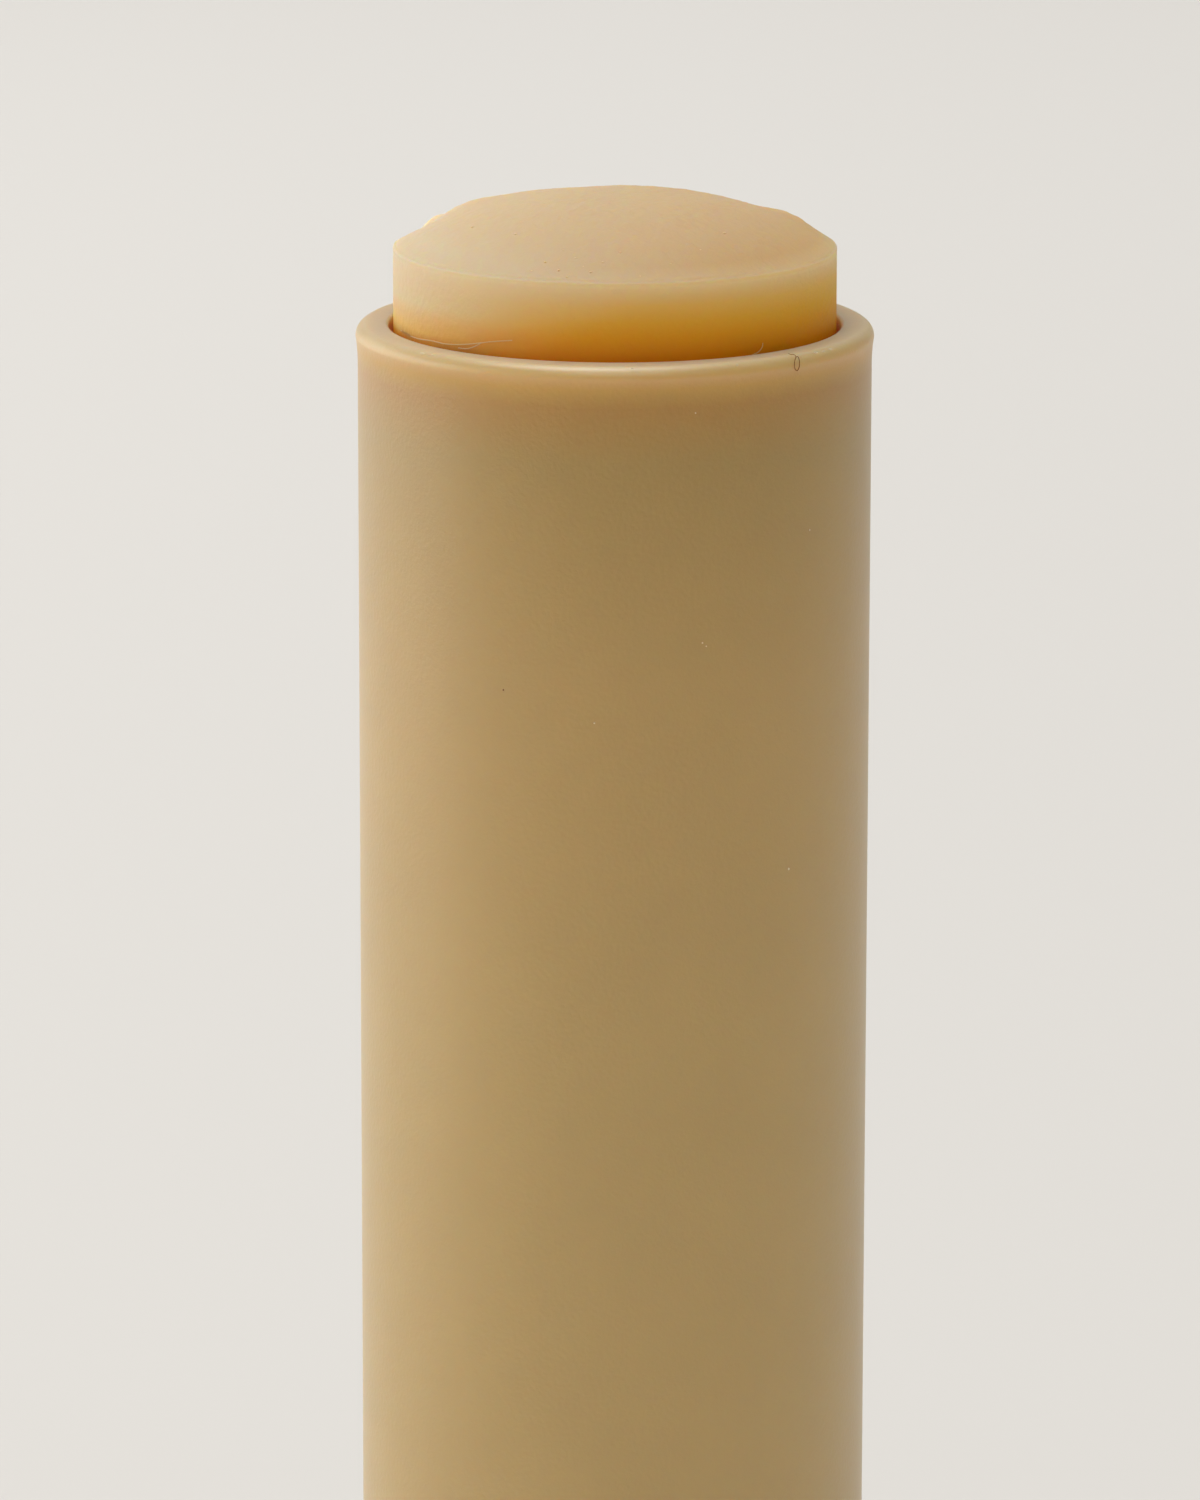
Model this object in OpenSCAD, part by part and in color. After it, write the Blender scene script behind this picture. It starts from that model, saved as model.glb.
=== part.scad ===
// Twist-up lip balm: a straight moulded tube, a grip dial moulded in one piece
// with its lift screw, a lift cup that climbs the screw, and the balm that was
// cast in the tube on top of the cup. Millimetres, +Z up, standing on the dial.
// Turning the dial clockwise, seen from below, raises the cup and the balm.

/* [Tube] */
// Outside diameter of the tube, and of the dial that is flush with it
tube_d = 16; // [15:0.1:20]
// Thickness of the tube's wall
tube_wall = 0.95; // [0.8:0.05:1.3]
// Length of the tube from its shoulder on the dial to its rim
tube_len = 49.75; // [42:0.25:62]
// Thickness of the floor that the lift screw passes through
floor_t = 1.2; // [0.8:0.1:2]
// Chamfer under the floor's hole, which leads the snap collar in
hole_chamfer = 0.4; // [0.2:0.1:0.6]
// Thickness of the neck that hangs below the floor and turns in the dial
neck_wall = 0.95; // [0.7:0.05:1.3]

/* [Tube lip] */
// How far the lip flares out beyond the straight wall
lip_flare = 0.065; // [0:0.005:0.15]
// Height of the flared stretch below the rim
lip_height = 1.2; // [0.6:0.1:2.5]
// Rounding of the rim's outer edge
lip_round = 0.2; // [0.1:0.05:0.3]
// Rounding of the rim's inner edge
lip_inner_round = 0.1; // [0.05:0.05:0.2]

/* [Guide ribs in the tube] */
// Number of ribs that stop the cup from turning
rib_count = 4; // [2:1:6]
// Width of a rib
rib_w = 1.2; // [0.8:0.1:1.6]
// How far a rib stands in from the bore
rib_depth = 0.4; // [0.3:0.05:0.5]
// Distance from the rim down to the top of the ribs
rib_below_rim = 5.5; // [5.4:0.1:9]
// Height of the slope on a rib's top, which leads the cup on
rib_slope = 0.8; // [0.4:0.1:1.5]

/* [Dial] */
// Height of the dial
dial_h = 10; // [8:0.5:14]
// Thickness of the dial's side wall
dial_wall = 1.3; // [1.1:0.05:1.6]
// Thickness of the dial's floor
dial_floor = 1.2; // [0.8:0.1:2]
// Depth of the shallow recess under the dial
foot_recess = 0.5; // [0.2:0.1:1]
// Width of the ring that the dial stands on
foot_w = 1.6; // [1.2:0.1:2.5]
// Rounding of the dial's bottom edge
foot_round = 0.6; // [0.2:0.1:0.8]
// Chamfer of the dial's top edge
dial_chamfer = 0.25; // [0.1:0.05:0.4]
// Diameter of the moulding gate's dimple under the dial
gate_d = 2.4; // [1.5:0.1:3.5]
// Depth of the gate's dimple
gate_depth = 0.3; // [0.1:0.1:0.5]

/* [Dial grip] */
// Number of grip grooves round the dial
grip_count = 36; // [24:1:40]
// Radius of the round cutter of a grip groove
grip_r = 0.45; // [0.3:0.05:0.6]
// Depth of a grip groove
grip_depth = 0.25; // [0.1:0.05:0.35]
// Height of the plain band above the grip grooves
grip_band = 1; // [0.5:0.1:2]

/* [Lift screw] */
// Diameter of the journal that turns in the tube's floor
stem_d = 6; // [5.8:0.1:6.6]
// How far the snap collar stands out from the journal
snap_lip = 0.35; // [0.2:0.05:0.5]
// Height of the snap collar
snap_h = 1.2; // [0.8:0.1:2]
// Number of gussets at the foot of the journal
gusset_count = 4; // [3:1:6]
// Reach of a gusset from the journal
gusset_reach = 2.4; // [1.5:0.1:2.8]
// Height of a gusset
gusset_h = 1.8; // [1:0.1:2.5]
// Thickness of a gusset
gusset_t = 0.8; // [0.6:0.1:1.2]
// Diameter of the screw's core
core_d = 3.4; // [3:0.1:3.8]
// Diameter over the screw's thread
thread_d = 5.4; // [5:0.1:5.6]
// Height that one turn of the thread climbs
thread_lead = 4; // [3.5:0.25:5]
// Width of the thread's ridge where it leaves the core
ridge_root = 1.3; // [1:0.1:1.6]
// Width of the thread's ridge at its crest
ridge_crest = 0.7; // [0.5:0.1:0.9]
// Distance from the rim down to the tip of the screw
screw_below_rim = 5; // [4:0.25:8]
// Chamfer of the screw's tip
tip_chamfer = 0.5; // [0.2:0.1:0.8]

/* [Lift cup] */
// Height of the cup
cup_h = 6.5; // [5:0.25:8]
// Thickness of the cup's wall
cup_wall = 0.8; // [0.75:0.05:1]
// Thickness of the cup's floor
cup_floor = 1; // [0.8:0.1:1.5]
// Height of the threaded hub, from the cup's underside
hub_h = 5.5; // [4.5:0.25:6]
// Thickness of the hub's wall outside its thread
hub_wall = 1.15; // [0.8:0.05:1.3]
// Number of fins that key the balm in the cup
fin_count = 4; // [2:1:6]
// Thickness of a fin
fin_t = 0.6; // [0.5:0.1:1]
// Height of a fin, from the cup's underside
fin_h = 4; // [2.5:0.25:5]

/* [Balm] */
// How far the balm's edge lies below the rim when it is turned fully down
balm_below_rim = 2.8; // [2.5:0.05:4]
// How far the balm is turned up from its lowest place
turned_up = 5.2; // [4:0.1:5.3]
// Rise of the dome above the balm's edge
dome_rise = 1.55; // [1:0.05:2.5]
// Fullness of the dome: 2 is a plain arc, more is flatter with fuller flanks
dome_fullness = 3; // [2:0.1:4]

/* [Clearances] */
// Gap between the balm and the tube's bore
balm_gap = 0.15; // [0.1:0.01:0.3]
// Gap between the cup and the tube's bore
cup_gap = 0.15; // [0.1:0.01:0.3]
// Gap between a guide rib and its notch, at the sides and at the bottom
rib_gap = 0.15; // [0.1:0.01:0.2]
// Gap between the tube's neck and the dial
neck_gap = 0.15; // [0.1:0.01:0.3]
// Gap between the journal and its hole in the tube's floor
stem_gap = 0.08; // [0.05:0.01:0.1]
// Height of the joint line between the dial and the tube
shoulder_gap = 0.25; // [0.15:0.05:0.4]
// Play between the snap collar and the tube's floor
snap_play = 0.15; // [0.1:0.05:0.3]
// Gap between the snap collar and the cup when it is turned fully down
park_gap = 0.4; // [0.2:0.1:1]
// Gap between the gussets and the tube's neck
gusset_gap = 0.5; // [0.3:0.1:1]
// Play of the screw's thread in the cup, on every side
thread_play = 0.15; // [0.1:0.01:0.2]
// Gap between the screw's thread and the bore that it left in the balm
screw_gap = 0.2; // [0.15:0.01:0.3]
// Gap above the screw's tip in the balm when it is turned fully down
tip_gap = 0.3; // [0.2:0.1:0.6]
// Shrinkage gap between the cast balm and the cup's upright walls
cast_gap = 0.02; // [0.01:0.01:0.05]

/* [Hidden] */
$fn = 96;
// An extra length that carries a cut clear of the face it opens
cut = 1;
// Segments in one turn of the thread, and the turns over which it fades out
turn_steps = 24;
fade_turns = 0.25;
// How deep the thread's ridge is rooted in the core
ridge_sink = 0.3;
// Points on the curve of the dome and of a small rounding
dome_steps = 22;
round_steps = 5;
flare_steps = 6;

tube_r = tube_d / 2;
bore_r = tube_r - tube_wall;
cup_r = bore_r - cup_gap;
balm_r = bore_r - balm_gap;
dial_in_r = tube_r - dial_wall;
neck_r = dial_in_r - neck_gap;
stem_r = stem_d / 2;
hole_r = stem_r + stem_gap;
core_r = core_d / 2;
thread_r = thread_d / 2;
groove_r = thread_r + thread_play;
hub_r = groove_r + hub_wall;
cup_in_r = cup_r - cup_wall;
notch_r = bore_r - rib_depth - rib_gap;
notch_w = rib_w + 2 * rib_gap;

dial_floor_z = foot_recess + dial_floor;
shoulder_z = dial_h + shoulder_gap;
neck_z = dial_floor_z + gusset_h + gusset_gap;
bore_z = shoulder_z + floor_t;
rim_z = shoulder_z + tube_len;
snap_z = bore_z + snap_play;
screw_z = snap_z + snap_h;
tip_z = rim_z - screw_below_rim;
rib_top_z = rim_z - rib_below_rim;

// The cup's underside when it is fully down, and as shown
cup_low_z = screw_z + park_gap;
cup_z = cup_low_z + turned_up;
// The balm's edge as shown, and the tops of its bore and of its grooves
edge_z = rim_z - balm_below_rim + turned_up;
balm_bore_z = tip_z + tip_gap + turned_up;
groove_top_z = rib_top_z + rib_gap + turned_up;

// The thread starts just above the collar and ends below the tip's chamfer
thread_z = screw_z + ridge_root / 2;
thread_turns = (tip_z - tip_chamfer - ridge_root / 2 - thread_z) / thread_lead;

// Points of a quarter round of radius r about [x, z], from angle a0 to a1
function quarter(x, z, r, a0, a1) =
    [for (i = [0:round_steps])
        let (a = a0 + (a1 - a0) * i / round_steps)
        [x + r * cos(a), z + r * sin(a)]];

// A ridge that winds up a left-hand helix. Its section is w0 wide at r0 and w1
// wide at r1, and it fades into the core at both ends.
module left_hand_ridge(r0, r1, w0, w1, z0, turns, fade_r) {
    n = ceil(turns * turn_steps);
    fade = fade_turns * turn_steps;
    sections = [for (i = [0:n])
        let (
            a = 360 * i / turn_steps,
            z = z0 + thread_lead * i / turn_steps,
            full = min(1, i / fade, (n - i) / fade),
            r = fade_r + (r1 - fade_r) * full,
            w = w0 + (w1 - w0) * (r - r0) / (r1 - r0)
        )
        [for (p = [[r0, -w0 / 2], [r, -w / 2], [r, w / 2], [r0, w0 / 2]])
            [p[0] * cos(a), p[0] * sin(a), z + p[1]]]];
    sides = [for (i = [0:n - 1], k = [0:3])
        let (a = 4 * i + k, b = 4 * i + (k + 1) % 4)
        each [[a, b, b + 4], [a, b + 4, a + 4]]];
    ends = [[3, 2, 1, 0], [4 * n, 4 * n + 1, 4 * n + 2, 4 * n + 3]];
    mirror([0, 1, 0])
        polyhedron([for (s = sections) each s], concat(ends, sides), convexity = 10);
}

// Boxes set round the axis, each from radius r0 to r1
module spokes(count, r0, r1, w, z0, z1, turn = 0) {
    upright_plates(count, w, [[r0, z0], [r1, z0], [r1, z1], [r0, z1]], turn);
}

// Plates of thickness t set round the axis, each with the outline of [r, z] points
module upright_plates(count, t, outline, turn = 0) {
    for (i = [0:count - 1])
        rotate(turn + 360 * i / count)
            translate([0, t / 2, 0])
                rotate([90, 0, 0])
                    linear_extrude(t)
                        polygon(outline);
}

// One moulding: outer wall with its flared lip, floor with the screw's hole,
// the neck below it, and the guide ribs in the bore.
module tube() {
    lip_r = tube_r + lip_flare;
    color("tan") {
        rotate_extrude()
            polygon(concat(
                [[hole_r, bore_z], [hole_r, shoulder_z + hole_chamfer],
                 [hole_r + hole_chamfer, shoulder_z], [neck_r - neck_wall, shoulder_z],
                 [neck_r - neck_wall, neck_z], [neck_r, neck_z], [neck_r, shoulder_z],
                 [tube_r - dial_chamfer, shoulder_z], [tube_r, shoulder_z + dial_chamfer]],
                [for (i = [0:flare_steps - 1])
                    let (rise = i / flare_steps)
                    [tube_r + lip_flare * rise * rise,
                     rim_z - lip_height + (lip_height - lip_round) * rise]],
                quarter(lip_r - lip_round, rim_z - lip_round, lip_round, 0, 90),
                quarter(bore_r + lip_inner_round, rim_z - lip_inner_round, lip_inner_round, 90, 180),
                [[bore_r, bore_z]]));
        guide_ribs();
    }
}

// Ribs that are rooted in the tube's wall and floor, with a sloping top
module guide_ribs() {
    rib_r = bore_r - rib_depth;
    root_r = bore_r + tube_wall / 2;
    root_z = bore_z - floor_t / 2;
    upright_plates(rib_count, rib_w,
                   [[rib_r, root_z], [root_r, root_z], [root_r, rib_top_z],
                    [bore_r, rib_top_z], [rib_r, rib_top_z - rib_slope]],
                   180 / rib_count);
}

// One moulding: grip wheel, journal with snap collar, and lift screw
module twist_dial() {
    color("tan") {
        difference() {
            dial_body();
            dial_cuts();
        }
        screw_shaft();
        lift_thread();
    }
}

module dial_body() {
    rotate_extrude()
        polygon(concat(
            [[0, dial_floor_z], [0, 0]],
            quarter(tube_r - foot_round, foot_round, foot_round, -90, 0),
            [[tube_r, dial_h - dial_chamfer], [tube_r - dial_chamfer, dial_h],
             [dial_in_r, dial_h], [dial_in_r, dial_floor_z]]));
}

// Foot recess, gate dimple, and grip grooves that run out at the bottom edge
module dial_cuts() {
    recess_r = tube_r - foot_round - foot_w;
    translate([0, 0, -cut])
        cylinder(r = recess_r, h = foot_recess + cut);
    cylinder(d = gate_d, h = foot_recess + gate_depth);
    for (i = [0:grip_count - 1])
        rotate(360 * i / grip_count)
            translate([tube_r + grip_r - grip_depth, 0, -cut])
                cylinder(r = grip_r, h = dial_h - grip_band + cut);
}

// Journal, snap collar with a sloping top, and the screw's core, with gussets
// at the foot
module screw_shaft() {
    rotate_extrude()
        polygon([
            [0, dial_floor_z - dial_floor / 2], [stem_r, dial_floor_z - dial_floor / 2],
            [stem_r, snap_z], [stem_r + snap_lip, snap_z],
            [stem_r + snap_lip, snap_z + snap_h / 3], [core_r, screw_z],
            [core_r, tip_z - tip_chamfer], [core_r - tip_chamfer, tip_z], [0, tip_z]]);
    gusset_r = stem_r + gusset_reach;
    root_z = dial_floor_z - dial_floor / 2;
    upright_plates(gusset_count, gusset_t,
                   [[core_r, root_z], [gusset_r, root_z], [gusset_r, dial_floor_z],
                    [stem_r, dial_floor_z + gusset_h], [core_r, dial_floor_z + gusset_h]]);
}

module lift_thread() {
    left_hand_ridge(core_r - ridge_sink, thread_r, ridge_root, ridge_crest,
                    thread_z, thread_turns, core_r - ridge_sink / 2);
}

// One moulding: cup with a notch for each guide rib, threaded hub, and fins
module lift_cup() {
    color("wheat")
        difference() {
            union() {
                translate([0, 0, cup_z])
                    cup_shell();
                translate([0, 0, cup_z])
                    cylinder(r = hub_r, h = hub_h);
                spokes(fin_count, hub_r - hub_wall / 2, cup_in_r + cup_wall / 4, fin_t,
                       cup_z + cup_floor / 2, cup_z + fin_h);
            }
            spokes(rib_count, notch_r, bore_r, notch_w, cup_z - cut, cup_z + cup_h + cut,
                   180 / rib_count);
            translate([0, 0, cup_z - cut])
                cylinder(r = core_r + thread_play, h = hub_h + 2 * cut);
            hub_groove();
        }
}

module cup_shell() {
    difference() {
        cylinder(r = cup_r, h = cup_h);
        translate([0, 0, cup_floor])
            cylinder(r = cup_in_r, h = cup_h);
    }
}

// The groove that the screw's thread runs in, in step with that thread
module hub_groove() {
    turns_below = floor((cup_z - thread_z) / thread_lead) - 1;
    groove_z = thread_z + turns_below * thread_lead;
    groove_turns = (cup_z + hub_h - groove_z) / thread_lead + 1;
    slope = (ridge_root - ridge_crest) / (thread_r - core_r + ridge_sink);
    left_hand_ridge(core_r - ridge_sink, groove_r,
                    ridge_root + 2 * thread_play, ridge_crest + 2 * thread_play - slope * thread_play,
                    groove_z, groove_turns, core_r - ridge_sink / 2);
}

// The balm, cast round the cup's hub and fins and the tube's guide ribs
module balm() {
    color("burlywood")
        difference() {
            balm_blank();
            cup_print();
            translate([0, 0, cup_z])
                cylinder(r = thread_r + screw_gap, h = balm_bore_z - cup_z);
            spokes(rib_count, notch_r, bore_r, notch_w, cup_z, groove_top_z, 180 / rib_count);
        }
}

module balm_blank() {
    rotate_extrude()
        polygon(concat(
            [[0, cup_z + cup_floor], [balm_r, cup_z + cup_floor]],
            [for (i = [0:dome_steps])
                let (x = cos(90 * i / dome_steps))
                [balm_r * x, edge_z + dome_rise * (1 - pow(x, dome_fullness))]]));
}

// What the cup takes out of the balm
module cup_print() {
    translate([0, 0, cup_z])
        difference() {
            cylinder(r = bore_r, h = cup_h);
            cylinder(r = cup_in_r - cast_gap, h = cup_h);
        }
    translate([0, 0, cup_z])
        cylinder(r = hub_r + cast_gap, h = hub_h);
    spokes(fin_count, hub_r, cup_in_r, fin_t + 2 * cast_gap, cup_z, cup_z + fin_h);
}

tube();
twist_dial();
lift_cup();
balm();
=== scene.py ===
import math

import bpy
from mathutils import Euler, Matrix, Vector


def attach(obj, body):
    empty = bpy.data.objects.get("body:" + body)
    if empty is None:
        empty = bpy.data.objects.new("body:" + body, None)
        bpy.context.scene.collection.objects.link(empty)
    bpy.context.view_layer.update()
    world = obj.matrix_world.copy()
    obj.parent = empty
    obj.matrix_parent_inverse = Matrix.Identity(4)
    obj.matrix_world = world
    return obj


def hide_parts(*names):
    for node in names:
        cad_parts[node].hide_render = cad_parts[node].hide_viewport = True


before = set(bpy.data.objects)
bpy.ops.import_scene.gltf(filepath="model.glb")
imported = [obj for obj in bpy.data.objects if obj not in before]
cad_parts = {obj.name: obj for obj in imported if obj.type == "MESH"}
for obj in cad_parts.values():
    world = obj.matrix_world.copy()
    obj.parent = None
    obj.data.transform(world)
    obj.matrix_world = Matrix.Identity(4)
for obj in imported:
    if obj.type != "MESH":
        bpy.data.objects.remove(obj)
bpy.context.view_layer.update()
scene = bpy.context.scene

# Camera: a long lens close to the lip balm, a little above its rim, as the
# photograph was taken. Its place, tilt and focal length were solved from the
# tube's converging sides and the ellipses of the rim and of the balm's edge.
CAMERA_PLACE = Vector((-0.00053, -0.25585, 0.10480))
CAMERA_PITCH = math.radians(12.871)
CAMERA_ROLL = math.radians(-0.088)
FOCAL_PX = 8341
FRAME_PX = 1500
SENSOR_MM = 36

camera = bpy.data.objects.new("camera", bpy.data.cameras.new("camera"))
camera.data.sensor_width = SENSOR_MM
camera.data.lens = FOCAL_PX / FRAME_PX * SENSOR_MM
camera.data.clip_start = 0.01
camera.location = CAMERA_PLACE
camera.rotation_euler = Euler((math.pi / 2 - CAMERA_PITCH, CAMERA_ROLL, 0))
scene.collection.objects.link(camera)
scene.camera = camera
scene.view_settings.view_transform = "Standard"

# Tube: one injection moulding in a fine matte, faintly translucent tan
# polypropylene. It has a straight wall, a lip that flares a few hundredths of
# a millimetre, a floor for the screw, a neck below it and four guide ribs.
MM = 0.001
RIM_Z = 60.0
TUBE_R = 8.0
TUBE_WALL = 0.95
BORE_R = TUBE_R - TUBE_WALL
SHOULDER_Z = 10.25
BORE_Z = 11.45
HOLE_R = 3.08
HOLE_CHAMFER = 0.4
NECK_R = 6.55
NECK_WALL = 0.95
NECK_Z = 4.0
FOOT_CHAMFER = 0.25
LIP_FLARE = 0.065
LIP_HEIGHT = 1.2
LIP_ROUND = 0.38
LIP_INNER_ROUND = 0.1
RIB_COUNT = 4
RIB_WIDTH = 1.2
RIB_DEPTH = 0.4
RIB_TOP_Z = 54.5
RIB_SLOPE = 0.8
TUBE_SEGMENTS = 288


def arc(x, z, r, start, end, steps):
    """Points of an arc about (x, z) in a profile, angles in degrees."""
    turn = [math.radians(start + (end - start) * i / steps) for i in range(steps + 1)]
    return [(x + r * math.cos(a), z + r * math.sin(a)) for a in turn]


def straight(a, b, steps):
    """Evenly spaced points from a up to, but not including, b."""
    return [
        (a[0] + (b[0] - a[0]) * i / steps, a[1] + (b[1] - a[1]) * i / steps)
        for i in range(steps)
    ]


def turn_rings(name, profile, segments, ring_shaped):
    """Extrudes a circle ring by ring through the profile's (radius, height) points in mm.

    A ring-shaped profile comes back to its first point; any other is closed at both poles.
    """
    bpy.ops.object.select_all(action="DESELECT")
    (radius, height), rest = profile[0], profile[1:]
    bpy.ops.mesh.primitive_circle_add(
        vertices=segments,
        radius=radius * MM,
        location=(0, 0, height * MM),
        fill_type="NOTHING" if ring_shaped else "TRIFAN",
    )
    piece = bpy.context.object
    piece.name = name
    bpy.ops.object.transform_apply(location=True, rotation=True, scale=True)
    bpy.ops.object.mode_set(mode="EDIT")
    bpy.ops.mesh.select_all(action="SELECT")
    if not ring_shaped:
        bpy.ops.mesh.region_to_loop()
    for r, z in rest:
        bpy.ops.mesh.extrude_region_move(
            TRANSFORM_OT_translate={"value": (0, 0, (z - height) * MM)}
        )
        bpy.ops.transform.resize(value=(r / radius, r / radius, 1), center_override=(0, 0, 0))
        radius, height = r, z
    if not ring_shaped:
        bpy.ops.mesh.merge(type="CENTER")
    bpy.ops.mesh.select_all(action="SELECT")
    bpy.ops.mesh.remove_doubles(threshold=1e-6)
    bpy.ops.mesh.normals_make_consistent(inside=False)
    bpy.ops.object.mode_set(mode="OBJECT")
    return piece


def take(piece):
    """Makes the piece the only selected object."""
    bpy.ops.object.select_all(action="DESELECT")
    piece.select_set(True)
    bpy.context.view_layer.objects.active = piece


def pick_faces(piece, wanted):
    """Goes into edit mode with only the wanted faces selected."""
    take(piece)
    bpy.ops.object.mode_set(mode="EDIT")
    bpy.ops.mesh.select_mode(type="FACE")
    bpy.ops.mesh.select_all(action="DESELECT")
    bpy.ops.object.mode_set(mode="OBJECT")
    for poly in piece.data.polygons:
        poly.select = wanted(poly.center / MM, poly.normal)
    bpy.ops.object.mode_set(mode="EDIT")


def on_rib(radius, low, high, width):
    """A test for the upright wall faces at a radius, where a guide rib stands or runs."""

    def test(centre, normal):
        wall = abs(normal.z) < 0.5 and abs(math.hypot(centre.x, centre.y) - radius) < 0.12
        pitch = 360 / RIB_COUNT
        turn = math.degrees(math.atan2(centre.y, centre.x)) % pitch - pitch / 2
        across = abs(math.radians(turn)) * radius
        return wall and low < centre.z < high and across < width / 2

    return test


def smooth(piece, angle=35):
    """Smooth shading, with edges above the angle kept sharp."""
    take(piece)
    bpy.ops.object.shade_smooth_by_angle(angle=math.radians(angle))


def tube_profile():
    """The wall's section: from the floor's hole round the outside, over the rim, down the bore."""
    lip_r = TUBE_R + LIP_FLARE
    flare_z = RIM_Z - LIP_HEIGHT
    flare_steps = 12
    flare = [
        (
            TUBE_R + LIP_FLARE * (i / flare_steps) ** 2,
            flare_z + (LIP_HEIGHT - LIP_ROUND) * i / flare_steps,
        )
        for i in range(flare_steps)
    ]
    return (
        [(HOLE_R, BORE_Z), (HOLE_R, SHOULDER_Z + HOLE_CHAMFER)]
        + [(HOLE_R + HOLE_CHAMFER, SHOULDER_Z), (NECK_R - NECK_WALL, SHOULDER_Z)]
        + [(NECK_R - NECK_WALL, NECK_Z), (NECK_R, NECK_Z), (NECK_R, SHOULDER_Z)]
        + [(TUBE_R - FOOT_CHAMFER, SHOULDER_Z)]
        + straight((TUBE_R, SHOULDER_Z + FOOT_CHAMFER), (TUBE_R, flare_z), 40)
        + flare
        + arc(lip_r - LIP_ROUND, RIM_Z - LIP_ROUND, LIP_ROUND, 0, 90, 12)
        + straight((lip_r - LIP_ROUND - 0.1, RIM_Z), (BORE_R + LIP_INNER_ROUND, RIM_Z), 3)
        + arc(BORE_R + LIP_INNER_ROUND, RIM_Z - LIP_INNER_ROUND, LIP_INNER_ROUND, 90, 180, 6)
        + straight((BORE_R, RIM_Z - 0.5), (BORE_R, RIB_TOP_Z), 8)
        + [(BORE_R, RIB_TOP_Z)]
        + straight((BORE_R, RIB_TOP_Z - RIB_SLOPE), (BORE_R, BORE_Z), 12)
        + [(BORE_R, BORE_Z), (HOLE_R, BORE_Z)]
    )


tube = turn_rings("tube_moulding", tube_profile(), TUBE_SEGMENTS, ring_shaped=True)
pick_faces(tube, on_rib(BORE_R, BORE_Z, RIB_TOP_Z, RIB_WIDTH))
bpy.ops.mesh.inset(thickness=0.02 * MM, depth=RIB_DEPTH * MM)
bpy.ops.object.mode_set(mode="OBJECT")


def linear(hex_colour):
    """A six-digit sRGB hex colour as linear RGBA."""
    parts = [int(hex_colour[i : i + 2], 16) / 255 for i in (0, 2, 4)]
    return [p / 12.92 if p <= 0.04045 else ((p + 0.055) / 1.055) ** 2.4 for p in parts] + [1]


def node(tree, kind, links=(), **settings):
    """Adds a node; settings fill its properties or inputs, links are (input, output socket)."""
    made = tree.nodes.new(kind)
    for key, value in settings.items():
        if hasattr(made, key):
            setattr(made, key, value)
        else:
            made.inputs[key.replace("_", " ")].default_value = value
    for key, source in links:
        tree.links.new(source, made.inputs[key])
    return made


def fade_by_height(tree, height, shades):
    """The colour socket of a ramp through (height in mm, hex colour) pairs, lowest first."""
    low, high = shades[0][0], shades[-1][0]
    place = node(
        tree, "ShaderNodeMapRange", [("Value", height)], From_Min=low * MM, From_Max=high * MM
    )
    ramp = node(tree, "ShaderNodeValToRGB", [("Fac", place.outputs["Result"])])
    stops = ramp.color_ramp.elements
    for i, (z, colour) in enumerate(shades):
        at = (z - low) / (high - low)
        stop = stops[0] if i == 0 else stops[-1] if i == len(shades) - 1 else stops.new(at)
        stop.position, stop.color = at, linear(colour)
    return ramp.outputs["Color"]


# Pattern sizes in mm. A spark-eroded grain is finer than a pixel, so it is drawn coarser.
PIGMENT_CLOUD = 4.0
ERODED_GRAIN = 0.143


def moulded_plastic(name, shades):
    """Polypropylene from a spark-eroded mould: a fine matte grain, and light enters the wall.
    The colour by height is painted shade a little darker below the rim, a painted glow of light just
    under it, and a painted highlight on the rim's edge."""
    material = bpy.data.materials.new(name)
    material.use_nodes = True
    tree = material.node_tree
    shader = tree.nodes["Principled BSDF"]
    where = node(tree, "ShaderNodeTexCoord").outputs["Object"]
    height = node(tree, "ShaderNodeSeparateXYZ", [("Vector", where)]).outputs["Z"]
    tint = fade_by_height(tree, height, shades)
    # the pigment is spread a little unevenly
    cloud = node(
        tree,
        "ShaderNodeTexNoise",
        [("Vector", where)],
        Scale=1 / (PIGMENT_CLOUD * MM),
        Detail=6,
        Roughness=0.7,
    )
    speckle = node(
        tree,
        "ShaderNodeMapRange",
        [("Value", cloud.outputs["Fac"])],
        From_Min=0.3,
        From_Max=0.7,
        To_Min=0.97,
        To_Max=1.03,
    )
    shade = node(
        tree,
        "ShaderNodeMix",
        [(6, tint)],
        data_type="RGBA",
        blend_type="MULTIPLY",
    )
    shade.inputs[0].default_value = 1
    tree.links.new(speckle.outputs["Result"], shade.inputs[7])
    tree.links.new(shade.outputs["Result"], shader.inputs["Base Color"])
    grain = node(
        tree, "ShaderNodeTexNoise", [("Vector", where)], Scale=1 / (ERODED_GRAIN * MM), Detail=2
    )
    bump = node(
        tree,
        "ShaderNodeBump",
        [("Height", grain.outputs["Fac"])],
        Strength=0.3,
        Distance=0.03 * MM,
    )
    tree.links.new(bump.outputs["Normal"], shader.inputs["Normal"])
    shader.inputs["Roughness"].default_value = 0.42
    shader.inputs["IOR"].default_value = 1.52
    shader.inputs["Specular IOR Level"].default_value = 1.0
    shader.inputs["Sheen Weight"].default_value = 0.2
    shader.inputs["Sheen Roughness"].default_value = 0.5
    shader.inputs["Subsurface Weight"].default_value = 1.0
    shader.inputs["Subsurface Radius"].default_value = (1.0, 0.55, 0.22)
    shader.inputs["Subsurface Scale"].default_value = 2.2 * MM
    return material


def on_wall(turn, r, z):
    """A point at a radius and height in mm, turned from the camera's side, + to the right."""
    a = math.radians(turn)
    return Vector((r * math.sin(a), -r * math.cos(a), z)) * MM


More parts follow.
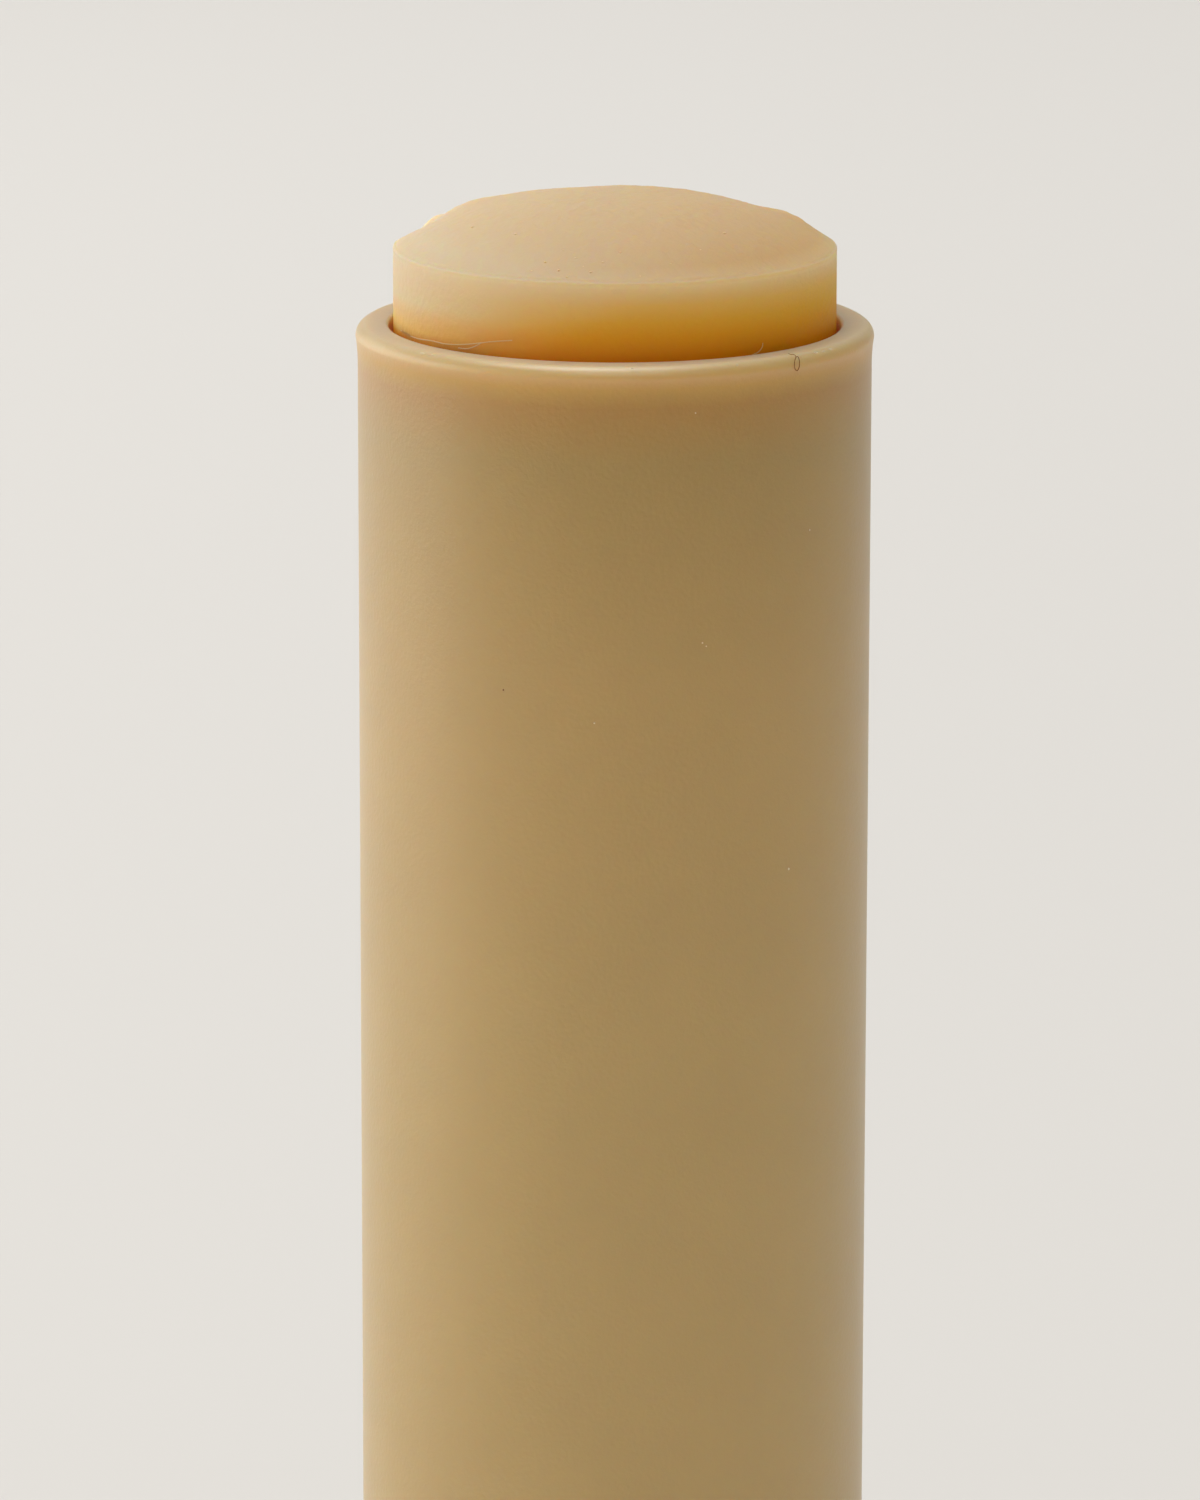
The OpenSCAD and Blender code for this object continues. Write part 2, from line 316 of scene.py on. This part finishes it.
def thread_line(points, thick, closed=False):
    """A fine round line through points, as a mesh: a smear, a fibre or a scratch's burr."""
    bpy.ops.object.select_all(action="DESELECT")
    bpy.ops.curve.primitive_bezier_curve_add(location=(0, 0, 0))
    line = bpy.context.object
    spline = line.data.splines[0]
    spline.bezier_points.add(len(points) - 2)
    for knot, point in zip(spline.bezier_points, points):
        knot.co = point
        knot.handle_left_type = knot.handle_right_type = "AUTO"
    spline.use_cyclic_u = closed
    line.data.dimensions = "3D"
    line.data.bevel_depth = thick / 2 * MM
    line.data.bevel_resolution = 2
    line.data.resolution_u = 8
    line.data.use_fill_caps = not closed
    bpy.ops.object.convert(target="MESH")
    return bpy.context.object


def flake(place, long, high, proud):
    """A tiny flake of the plastic, lifted where the rim was knocked."""
    bpy.ops.object.select_all(action="DESELECT")
    bpy.ops.mesh.primitive_ico_sphere_add(subdivisions=2, radius=0.5 * MM, location=place)
    chip = bpy.context.object
    bpy.ops.object.transform_apply(location=True, rotation=True, scale=True)
    bpy.ops.object.mode_set(mode="EDIT")
    bpy.ops.mesh.select_all(action="SELECT")
    bpy.ops.transform.resize(value=(long, proud, high), center_override=place)
    bpy.ops.object.mode_set(mode="OBJECT")
    return chip


# Flakes on the rim: turn, radius, height, length along the rim and size upward
RIM_FLAKES = [
    (3.7, 7.99, 59.97, 0.1, 0.05), (50.0, 8.0, 59.96, 0.12, 0.05), (52.6, 8.0, 59.96, 0.09, 0.05),
    (55.3, 8.0, 59.96, 0.14, 0.05), (27.4, 8.02, 59.93, 0.05, 0.09), (-47, 8.0, 59.98, 0.16, 0.03),
    (-44, 8.0, 59.98, 0.1, 0.03),
]
FIBRE_TURN = 43.3
FIBRE_Z = 59.72

# The tube's colour by height in mm: darker from 50 mm up as painted shade, a painted golden glow of
# light just under the rim, and the rim paler as a painted highlight.
TUBE_SHADES_WITH_PAINTED_LIGHT = [
    (38, "BB9C5B"), (50, "BB9956"), (57, "AD8D47"), (58.7, "B48735"), (59.3, "C19A3B"),
    (59.6, "C1A365"), (59.85, "B29C6C"), (60, "B8A582"),
]
# Dust specks on the wall, and one dark one: turn, height, size
DUST = [
    (17.7, 58.54, 0.05), (-4.4, 49.0, 0.06), (19.5, 51.41, 0.06), (20.4, 51.3, 0.05),
    (48.2, 54.48, 0.06), (42.2, 43.94, 0.08),
]
DARK_SPECK = (-25.1, 49.87, 0.06)

marks = [flake(on_wall(t, r, z), long, high, 0.05) for t, r, z, long, high in RIM_FLAKES]
# the lint fibre is a loop on the lip with a tail over the rim
loop = [
    on_wall(
        FIBRE_TURN + 0.75 * math.sin(a),
        8.068,
        FIBRE_Z + 0.19 * math.cos(a) * (1 if math.cos(a) < 0 else 1.3),
    )
    for a in (math.radians(45 * i) for i in range(8))
]
fibre = [thread_line(loop, 0.022, closed=True)]
fibre.append(
    thread_line([on_wall(FIBRE_TURN - 0.3, 8.06, 59.9), on_wall(FIBRE_TURN - 0.1, 7.99, 60.0),
                 on_wall(FIBRE_TURN - 0.4, 7.85, 60.01), on_wall(FIBRE_TURN, 7.7, 60.01)], 0.02)
)
tube.data.materials.append(moulded_plastic("matte_tan_polypropylene", TUBE_SHADES_WITH_PAINTED_LIGHT))
lint = bpy.data.materials.new("brown_lint")
lint.use_nodes = True
lint.node_tree.nodes["Principled BSDF"].inputs["Base Color"].default_value = linear("7A4E28")
lint.node_tree.nodes["Principled BSDF"].inputs["Roughness"].default_value = 0.7
turn, z, size = DARK_SPECK
fibre.append(flake(on_wall(turn, TUBE_R, z), size, size, 0.02))
dust = [flake(on_wall(turn, TUBE_R, z), size, size, 0.03) for turn, z, size in DUST]
pale = bpy.data.materials.new("pale_dust")
pale.use_nodes = True
pale.node_tree.nodes["Principled BSDF"].inputs["Base Color"].default_value = linear("E6D5B4")
pale.node_tree.nodes["Principled BSDF"].inputs["Roughness"].default_value = 0.8
for mark in marks:
    mark.data.materials.append(tube.data.materials[0])
for strand in fibre:
    strand.data.materials.append(lint)
for speck in dust:
    speck.data.materials.append(pale)
take(tube)
for mark in marks + fibre + dust:
    mark.select_set(True)
bpy.ops.object.join()
smooth(tube)
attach(tube, "barrel")
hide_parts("tube")

# Twist dial: one moulding with the lift screw, in the tube's plastic. Its grip
# has flutes with soft edges, and its journal is snapped up through the hole in
# the tube's floor, where a collar holds it. The left-hand thread lifts the cup.
DIAL_H = 10.0
DIAL_IN_R = 6.7
DIAL_FLOOR_Z = 1.7
DIAL_CHAMFER = 0.25
FOOT_ROUND = 0.6
FOOT_RECESS_R = 5.8
FOOT_RECESS = 0.5
GATE_R = 1.2
GATE_DEPTH = 0.3
FLUTES = 36
FLUTE_R = 0.45
FLUTE_DEPTH = 0.25
FLUTE_TOP_Z = 9.0
FLUTE_STEPS = 16
STEM_R = 3.0
COLLAR_R = 3.35
COLLAR_Z = 11.6
COLLAR_TOP_Z = 12.0
CORE_R = 1.7
CORE_Z = 12.8
TIP_Z = 55.0
TIP_CHAMFER = 0.5
GUSSETS = 4
GUSSET_R = 5.4
GUSSET_THICK = 0.8
GUSSET_TOP_Z = 3.5
THREAD_R = 2.7
THREAD_ROOT = 1.3
THREAD_CREST = 0.7
THREAD_LEAD = 4.0
THREAD_Z = 13.45
THREAD_TURNS = 10


def pick_points(piece, wanted):
    """Goes into edit mode with only the wanted points selected."""
    take(piece)
    bpy.ops.object.mode_set(mode="EDIT")
    bpy.ops.mesh.select_mode(type="VERT")
    bpy.ops.mesh.select_all(action="DESELECT")
    bpy.ops.object.mode_set(mode="OBJECT")
    for point in piece.data.vertices:
        point.select = wanted(point.co / MM)
    bpy.ops.object.mode_set(mode="EDIT")


def wheel_profile():
    """The dial's section: from the gate dimple below, round the grip and in, up to the tip."""
    foot_r = TUBE_R - FOOT_ROUND
    wall_rows = [1.5, 3, 5, 7, 8.2, 8.8, 8.93, 8.98, 9.03, 9.08, 9.25]
    return (
        [(GATE_R, FOOT_RECESS + GATE_DEPTH), (GATE_R, FOOT_RECESS + 0.05)]
        + [(GATE_R + 0.05, FOOT_RECESS)]
        + [(FOOT_RECESS_R - 0.08, FOOT_RECESS), (FOOT_RECESS_R, FOOT_RECESS - 0.08)]
        + [(FOOT_RECESS_R, 0.08), (FOOT_RECESS_R + 0.08, 0)]
        + arc(foot_r, FOOT_ROUND, FOOT_ROUND, -90, 0, 8)
        + [(TUBE_R, z) for z in wall_rows]
        + [(TUBE_R, DIAL_H - DIAL_CHAMFER)]
        + arc(TUBE_R - DIAL_CHAMFER, DIAL_H - DIAL_CHAMFER, DIAL_CHAMFER, 30, 90, 3)
        + [(DIAL_IN_R + 0.1, DIAL_H), (DIAL_IN_R, DIAL_H - 0.1), (DIAL_IN_R, DIAL_FLOOR_Z)]
        + [(STEM_R, DIAL_FLOOR_Z), (STEM_R, COLLAR_Z), (COLLAR_R, COLLAR_Z)]
        + [(COLLAR_R, COLLAR_TOP_Z), (CORE_R, CORE_Z), (CORE_R, TIP_Z - TIP_CHAMFER)]
        + [(CORE_R - TIP_CHAMFER, TIP_Z)]
    )


dial = turn_rings("grip_dial_with_screw", wheel_profile(), FLUTES * FLUTE_STEPS, ring_shaped=False)
pitch = 2 * math.pi / FLUTES
step = pitch / FLUTE_STEPS
for k in range(-FLUTE_STEPS // 2 + 1, FLUTE_STEPS // 2):
    # where the round cutter's near side lies, softened where it meets the wall
    across = abs(k) * step * TUBE_R
    reach = FLUTE_R**2 - across**2
    cut_r = TUBE_R + FLUTE_R - FLUTE_DEPTH - math.sqrt(reach) if reach > 0 else TUBE_R
    soft_r = -0.06 * math.log(math.exp(-cut_r / 0.06) + math.exp(-TUBE_R / 0.06)) + 0.005
    if soft_r > TUBE_R - 0.004:
        continue
    rows = sorted(
        {
            round(math.hypot(v.co.x, v.co.y) / MM, 4)
            for v in dial.data.vertices
            if v.co.z / MM < FLUTE_TOP_Z and math.hypot(v.co.x, v.co.y) / MM > soft_r + 0.001
        }
    )
    for row_r in rows:

        def in_flute(p):
            on_row = abs(math.hypot(p.x, p.y) - row_r) < 0.0005
            turn = (math.atan2(p.y, p.x) - k * step) % pitch
            return on_row and p.z < FLUTE_TOP_Z and min(turn, pitch - turn) < step / 4

        pick_points(dial, in_flute)
        size = soft_r / row_r
        bpy.ops.transform.resize(value=(size, size, 1), center_override=(0, 0, 0))
        bpy.ops.object.mode_set(mode="OBJECT")

# One gusset stiffens the stem's foot; the others are copies turned about the axis
bpy.ops.object.select_all(action="DESELECT")
gusset_long = GUSSET_R - STEM_R + 0.6
gusset_high = GUSSET_TOP_Z - DIAL_FLOOR_Z + 0.4
bpy.ops.mesh.primitive_cube_add(
    size=MM,
    scale=(gusset_long, GUSSET_THICK, gusset_high),
    location=((GUSSET_R - gusset_long / 2) * MM, 0, (GUSSET_TOP_Z - gusset_high / 2) * MM),
)
gusset = bpy.context.object
bpy.ops.object.transform_apply(location=True, rotation=True, scale=True)
pick_points(gusset, lambda p: p.x > GUSSET_R - 0.1 and p.z > GUSSET_TOP_Z - 0.1)
bpy.ops.transform.translate(value=(0, 0, (DIAL_FLOOR_Z + 0.05 - GUSSET_TOP_Z) * MM))
bpy.ops.object.mode_set(mode="OBJECT")
parts = [gusset]
for i in range(1, GUSSETS):
    copy = gusset.copy()
    copy.data = gusset.data.copy()
    scene.collection.objects.link(copy)
    take(copy)
    bpy.ops.object.mode_set(mode="EDIT")
    bpy.ops.mesh.select_all(action="SELECT")
    bpy.ops.transform.rotate(
        value=i * 2 * math.pi / GUSSETS, orient_axis="Z", center_override=(0, 0, 0)
    )
    bpy.ops.object.mode_set(mode="OBJECT")
    parts.append(copy)

# The thread's ridge: a plane shaped to its section, drawn round by a screw
bpy.ops.object.select_all(action="DESELECT")
ridge_deep = THREAD_R - CORE_R + 0.1
bpy.ops.mesh.primitive_plane_add(
    size=MM,
    rotation=(math.pi / 2, 0, 0),
    location=((THREAD_R - ridge_deep / 2) * MM, 0, THREAD_Z * MM),
)
ridge = bpy.context.object
bpy.ops.object.transform_apply(location=True, rotation=True, scale=True)
middle = (THREAD_R - ridge_deep / 2) * MM
bpy.ops.object.mode_set(mode="EDIT")
bpy.ops.mesh.select_all(action="SELECT")
bpy.ops.transform.resize(
    value=(ridge_deep, 1, THREAD_ROOT), center_override=(middle, 0, THREAD_Z * MM)
)
bpy.ops.object.mode_set(mode="OBJECT")
pick_points(ridge, lambda p: p.x > THREAD_R - 0.05)
narrow = THREAD_CREST / THREAD_ROOT
bpy.ops.transform.resize(value=(1, 1, narrow), center_override=(0, 0, THREAD_Z * MM))
bpy.ops.mesh.select_all(action="SELECT")
bpy.ops.mesh.delete(type="ONLY_FACE")
bpy.ops.object.mode_set(mode="OBJECT")
turns = ridge.modifiers.new("turns", "SCREW")
turns.axis = "Z"
turns.angle = -2 * math.pi
turns.screw_offset = THREAD_LEAD * MM
turns.iterations = THREAD_TURNS
turns.steps = turns.render_steps = 48
turns.use_merge_vertices = False
bpy.ops.object.modifier_apply(modifier="turns")
bpy.ops.object.mode_set(mode="EDIT")
bpy.ops.mesh.select_all(action="SELECT")
bpy.ops.mesh.remove_doubles(threshold=1e-7)
bpy.ops.mesh.select_all(action="DESELECT")
bpy.ops.mesh.select_non_manifold(extend=False)
bpy.ops.mesh.edge_face_add()
bpy.ops.mesh.select_all(action="SELECT")
bpy.ops.mesh.normals_make_consistent(inside=False)
bpy.ops.object.mode_set(mode="OBJECT")
parts.append(ridge)
take(dial)
for part in parts:
    part.select_set(True)
bpy.ops.object.join()
smooth(dial, 40)
dial.data.materials.append(moulded_plastic("matte_tan_polypropylene_dial", TUBE_SHADES_WITH_PAINTED_LIGHT))
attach(dial, "dial")
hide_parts("twist_dial")

# Lift cup: a plain natural polypropylene moulding under the balm, which has
# the threaded hub. Its solid is right as it is, so it only gets its finish.
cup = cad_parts["lift_cup"]
cup.data.materials.clear()
cup.data.materials.append(moulded_plastic("natural_polypropylene", [(10, "D8CBB0"), (60, "D8CBB0")]))

# Balm: beeswax and oils poured into the tube from above and set under a domed
# mould, which left a fine raised line round the edge. The wax keyed into the
# cup and round the tube's ribs, and it shrank clear of the bore.
BALM_R = 6.89
EDGE_Z = 62.4
DOME_H = 1.54
# 2 would be a parabola; more is flatter on top, with fuller sides
DOME_POWER = 2.63
# Where the wax set higher or lower than the mould: turn from the camera's side, radius, reach, rise
SETTLED = [
    (-108, 6.5, 1.5, -0.2), (-124, 6.85, 0.9, 0.23), (-129, 6.85, 0.9, 0.12),
    (-120, 5.4, 1.6, 0.12), (-124, 5.0, 2.6, 0.05), (-142, 4.6, 2.6, 0.07), (165, 3.8, 2.8, 0.05),
    (140, 4.4, 2.4, 0.05), (110, 5.8, 1.3, 0.17),
]
CUP_Z = 18.4
CUP_FLOOR = 1.0
CUP_HEIGHT = 6.5
CUP_IN_R = 6.08
HUB_R = 4.02
HUB_HEIGHT = 5.5
SCREW_BORE_R = 2.9
SCREW_BORE_Z = 60.5
GROOVE_TOP_Z = 59.85
GROOVE_WIDTH = 1.5
GROOVE_DEPTH = 0.39
BALM_SEGMENTS = 320


def dome_z(r):
    """The dome's height at a radius."""
    return EDGE_Z + DOME_H * (1 - (r / BALM_R) ** DOME_POWER)


def balm_profile():
    """The stick's section: from the screw's bore round the cup's hub, up the side, over the dome."""
    seat_z = CUP_Z + CUP_FLOOR
    cup_top = CUP_Z + CUP_HEIGHT
    return (
        [(SCREW_BORE_R, SCREW_BORE_Z), (SCREW_BORE_R, CUP_Z + HUB_HEIGHT)]
        + [(HUB_R, CUP_Z + HUB_HEIGHT), (HUB_R, seat_z), (CUP_IN_R, seat_z), (CUP_IN_R, cup_top)]
        + straight((BALM_R, cup_top), (BALM_R, GROOVE_TOP_Z), 30)
        + straight((BALM_R, GROOVE_TOP_Z), (BALM_R, EDGE_Z - 0.12), 24)
        + [(BALM_R, EDGE_Z - 0.1), (BALM_R + 0.005, EDGE_Z - 0.06)]
        + [(BALM_R + 0.003, EDGE_Z - 0.03), (BALM_R - 0.015, EDGE_Z)]
        + [(BALM_R - 0.045, EDGE_Z + 0.016), (BALM_R - 0.08, EDGE_Z + 0.024)]
        + [(r, dome_z(r)) for r in (BALM_R - 0.12 * i for i in range(1, 57))]
        + [(0.08, dome_z(0))]
    )


balm = turn_rings("balm_stick", balm_profile(), BALM_SEGMENTS, ring_shaped=False)
pick_faces(balm, on_rib(BALM_R, CUP_Z + CUP_HEIGHT, GROOVE_TOP_Z, GROOVE_WIDTH))
bpy.ops.mesh.inset(thickness=0.02 * MM, depth=-GROOVE_DEPTH * MM)
bpy.ops.object.mode_set(mode="OBJECT")
for turn, radius, reach, rise in SETTLED:
    middle = on_wall(turn, radius, dome_z(radius))
    nearest = min(balm.data.vertices, key=lambda v: (v.co - middle).length).co.copy() / MM
    pick_points(balm, lambda p: (p - nearest).length < 0.001)
    bpy.ops.transform.translate(
        value=(0, 0, rise * MM),
        use_proportional_edit=True,
        proportional_edit_falloff="SMOOTH",
        proportional_size=reach * MM,
    )
    bpy.ops.object.mode_set(mode="OBJECT")


# The painted light from the left ends along a ragged line: how far left of the axis it starts to
# thin, over what width, how ragged, and in clouds of what size. The wax's grain is drawn coarser
# than it is, to show.
LEFT_LIGHT_START = 7.5
LEFT_LIGHT_WIDTH = 14
LEFT_LIGHT_RAGGED = 1.2
LEFT_LIGHT_CLOUD = 1.67
WAX_GRAIN = 0.222


def poured_wax(name):
    """Beeswax balm: satin and honey-coloured, with painted shade darkening it to amber towards the
    rim, a painted pale glow at the edge, painted paler where light from the left falls, and painted
    deep amber shade where the tube keeps the light off."""
    material = bpy.data.materials.new(name)
    material.use_nodes = True
    tree = material.node_tree
    shader = tree.nodes["Principled BSDF"]
    where = node(tree, "ShaderNodeTexCoord").outputs["Object"]
    height = node(tree, "ShaderNodeSeparateXYZ", [("Vector", where)]).outputs["Z"]
    # the first ramp carries painted shade and a painted edge glow by height, the second is the wax
    # painted paler where light from the left falls
    clear, left_lit_shades = (
        fade_by_height(tree, height, [(EDGE_Z + rise, colour) for rise, colour in shades])
        for shades in (WAX_SHADES_WITH_PAINTED_SHADE, LEFT_LIT_WAX_SHADES)
    )
    # the painted light from the left thins out towards the right, along a ragged line, and the lower
    # the sooner
    across = node(tree, "ShaderNodeSeparateXYZ", [("Vector", where)]).outputs["X"]
    cloud = node(
        tree, "ShaderNodeTexNoise", [("Vector", where)], Scale=1 / (LEFT_LIGHT_CLOUD * MM), Detail=4
    )
    ragged = node(
        tree,
        "ShaderNodeMath",
        [(0, cloud.outputs["Fac"]), (2, across)],
        operation="MULTIPLY_ADD",
    )
    ragged.inputs[1].default_value = LEFT_LIGHT_RAGGED * MM
    from_left = node(tree, "ShaderNodeMath", [(0, ragged.outputs["Value"])], operation="ADD")
    from_left.inputs[1].default_value = LEFT_LIGHT_START * MM
    sooner = node(
        tree,
        "ShaderNodeMapRange",
        [("Value", height)],
        From_Min=(EDGE_Z - 4) * MM,
        From_Max=EDGE_Z * MM,
        To_Min=3,
        To_Max=1,
    )
    thin = node(
        tree,
        "ShaderNodeMath",
        [(0, from_left.outputs["Value"]), (1, sooner.outputs["Result"])],
        operation="MULTIPLY",
    )
    left_light = node(
        tree,
        "ShaderNodeMapRange",
        [("Value", thin.outputs["Value"])],
        interpolation_type="SMOOTHSTEP",
        From_Min=0,
        From_Max=LEFT_LIGHT_WIDTH * MM,
        To_Min=1,
        To_Max=0,
    )
    # painted shade: where the tube is close, ambient occlusion turns the wax's colour to deep amber
    shade = node(tree, "ShaderNodeAmbientOcclusion", samples=8, Distance=2.5 * MM)
    painted_shade_mask = node(
        tree, "ShaderNodeMapRange", [("Value", shade.outputs["AO"])], From_Min=0.85, From_Max=0.4
    )
    honey = node(
        tree, "ShaderNodeMix", [(0, painted_shade_mask.outputs["Result"]), (6, clear)], data_type="RGBA"
    )
    honey.inputs[7].default_value = linear(PAINTED_SHADE_AMBER)
    tint = node(
        tree,
        "ShaderNodeMix",
        [(0, left_light.outputs["Result"]), (6, honey.outputs[2]), (7, left_lit_shades)],
        data_type="RGBA",
    )
    tree.links.new(tint.outputs[2], shader.inputs["Base Color"])
    grain = node(
        tree, "ShaderNodeTexNoise", [("Vector", where)], Scale=1 / (WAX_GRAIN * MM), Detail=3
    )
    bump = node(
        tree,
        "ShaderNodeBump",
        [("Height", grain.outputs["Fac"])],
        Strength=0.7,
        Distance=0.04 * MM,
    )
    tree.links.new(bump.outputs["Normal"], shader.inputs["Normal"])
    # the mould left the dome matte, and the tube's wall left the side with a satin skin
    matte = node(
        tree,
        "ShaderNodeMapRange",
        [("Value", height)],
        From_Min=(EDGE_Z - 0.15) * MM,
        From_Max=(EDGE_Z + 0.05) * MM,
        To_Min=0.58,
        To_Max=0.68,
    )
    tree.links.new(matte.outputs["Result"], shader.inputs["Roughness"])
    shader.inputs["IOR"].default_value = 1.44
    shader.inputs["Specular IOR Level"].default_value = 0.5
    shader.inputs["Subsurface Weight"].default_value = 1.0
    shader.inputs["Subsurface Radius"].default_value = (1.0, 0.4, 0.1)
    shader.inputs["Subsurface Scale"].default_value = 6 * MM
    return material


# The wax's colour by height from the edge, in mm: honey down the stick, amber painted shade towards
# the rim, a pale painted glow at the edge, and tan over the dome. The second list is the same wax
# painted paler where light from the left falls.
WAX_SHADES_WITH_PAINTED_SHADE = [
    (-6.0, "CF9F3C"), (-2.3, "D68702"), (-1.7, "D69804"), (-1.26, "D3A42A"), (-0.75, "CFB056"),
    (-0.38, "C8B57E"), (-0.16, "C5B492"), (0.0, "BFA37C"), (0.35, "B7986A"), (1.0, "B99C74"),
]
LEFT_LIT_WAX_SHADES = [
    (-6.0, "CDA75C"), (-2.5, "D8900F"), (-2.1, "E8B35C"), (-1.7, "D9AE77"), (-1.26, "CCBB93"),
    (-0.38, "C3B595"), (-0.16, "BEB099"), (0.0, "B5A68C"), (0.35, "BAAD91"), (1.0, "BCA786"),
]
PAINTED_SHADE_AMBER = "D88100"


def ripple(piece, name, size, strength, wanted):
    """Shifts the wanted points along their normals by a cloud pattern, size and strength in mm."""
    group = piece.vertex_groups.new(name=name)
    for point in piece.data.vertices:
        weight = wanted(point.co / MM)
        if weight > 0:
            group.add([point.index], weight, "REPLACE")
    clouds = bpy.data.textures.new(name, "CLOUDS")
    clouds.noise_scale = size * MM
    clouds.noise_depth = 2
    take(piece)
    push = piece.modifiers.new(name, "DISPLACE")
    push.texture = clouds
    push.texture_coords = "LOCAL"
    push.vertex_group = name
    push.strength = strength * MM
    push.mid_level = 0.5
    bpy.ops.object.modifier_apply(modifier=name)
    piece.vertex_groups.clear()


ripple(balm, "settling", 2.6, 0.05, lambda p: min(1, max(0, p.z - EDGE_Z - 0.02) * 2))
ripple(balm, "crumb", 0.3, 0.05, lambda p: min(1, max(0, p.z - EDGE_Z) * 4))
ripple(balm, "edge", 0.7, 0.03, lambda p: 1 if EDGE_Z - 0.08 < p.z < EDGE_Z + 0.06 else 0)

# Thin films of wax by the rim, as points of turn and height
FILMS = [
    [(-73.6, 60.06), (-62, 60.04), (-54.2, 60.1), (-48.8, 60.1), (-41.5, 60.2), (-32.7, 60.4),
     (-27, 60.5)],
    [(-44, 60.05), (-41, 60.07), (-38, 60.2), (-36, 60.33)],
    [(40.8, 60.27), (40.6, 60.15), (39.5, 60.02), (37.2, 59.94)],
]
# Crumbs of wax on the dome: turn, radius and size
CRUMBS = [
    (-64.5, 4.87, 0.09), (-39.7, 4.76, 0.09), (44.5, 4.76, 0.1), (-20.5, 6.07, 0.08),
    (-15.5, 6.41, 0.09), (-12.0, 5.81, 0.07), (-6.7, 6.44, 0.08), (-3.7, 5.98, 0.07),
    (-12.7, 6.68, 0.07), (1.5, 5.47, 0.06), (28.0, 5.52, 0.06), (6.5, 6.62, 0.06),
    (-17.0, 5.4, 0.06), (-9.0, 6.2, 0.06), (-23.0, 6.5, 0.06), (16.0, 6.1, 0.06),
]
crumbs = [flake(on_wall(t, r, dome_z(r)), size, 0.5 * size, size) for t, r, size in CRUMBS]
films = [
    thread_line([on_wall(turn, BALM_R - 0.004, z) for turn, z in film], 0.035) for film in FILMS
]
balm.data.materials.append(poured_wax("poured_beeswax_balm"))
smear = bpy.data.materials.new("thin_wax_film")
smear.use_nodes = True
smear_shader = smear.node_tree.nodes["Principled BSDF"]
smear_shader.inputs["Base Color"].default_value = linear("D2AC72")
smear_shader.inputs["Roughness"].default_value = 0.4
for film in films:
    film.data.materials.append(smear)
pale_wax = bpy.data.materials.new("pale_wax_crumb")
pale_wax.use_nodes = True
pale_wax.node_tree.nodes["Principled BSDF"].inputs["Base Color"].default_value = linear("D3BB90")
pale_wax.node_tree.nodes["Principled BSDF"].inputs["Roughness"].default_value = 0.6
for crumb in crumbs:
    crumb.data.materials.append(pale_wax)
take(balm)
for extra in films + crumbs:
    extra.select_set(True)
bpy.ops.object.join()
smooth(balm)
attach(balm, "lift")
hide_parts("balm")

# Floor and light: a plain pale sheet, soft boxes round the left, behind and
# above, and a pale room, so the front of the tube is its darkest side.
bpy.ops.object.select_all(action="DESELECT")
bpy.ops.mesh.primitive_circle_add(vertices=96, radius=3, fill_type="NGON")
floor = bpy.context.object
floor.name = "floor"
paper = bpy.data.materials.new("pale_matte_paper")
paper.use_nodes = True
paper_shader = paper.node_tree.nodes["Principled BSDF"]
paper_shader.inputs["Base Color"].default_value = linear("D3D0CC")
paper_shader.inputs["Roughness"].default_value = 0.9
floor.data.materials.append(paper)

world = bpy.data.worlds.new("studio")
world.use_nodes = True
world.node_tree.nodes["Background"].inputs["Color"].default_value = linear("F4F2EC")
world.node_tree.nodes["Background"].inputs["Strength"].default_value = 0.512
scene.world = world
world.cycles_visibility.glossy = False


def softbox(name, place, target, size, power):
    """A square soft white light at a place, pointed at a target."""
    light = bpy.data.objects.new(name, bpy.data.lights.new(name, "AREA"))
    light.data.shape = "SQUARE"
    light.data.size = size
    light.data.energy = power
    light.location = place
    light.rotation_euler = (Vector(target) - Vector(place)).to_track_quat("-Z", "Y").to_euler()
    light.visible_camera = False
    scene.collection.objects.link(light)


def ring_box(name, turn, rise, size, power, away=0.6):
    """A square soft box, turned left (-) or right of the camera's side, and raised."""
    target = Vector((0, 0, 0.045))
    a, e = math.radians(turn), math.radians(rise)
    out = Vector((math.sin(a) * math.cos(e), -math.cos(a) * math.cos(e), math.sin(e)))
    softbox(name, target + out * away, target, size, power)


ring_box("left", -92, 10, 0.4, 1.164)
ring_box("left_back", -130, 10, 0.4, 0.852)
ring_box("left_front", -50, 10, 0.4, 0.184)
ring_box("front", 0, 55, 0.4, 0.72)
ring_box("back", 180, 14, 0.8, 0.493, 1.0)
ring_box("top", 180, 81, 0.5, 2.98, 1.1)
ring_box("top_side", -95, 78, 0.5, 3.25, 1.1)
# and one that only lights the sheet behind
softbox("sweep", (0, 0.75, 0.5), (0, 0.55, 0), 0.5, 0.208)
bpy.data.lights["sweep"].spread = math.radians(70)
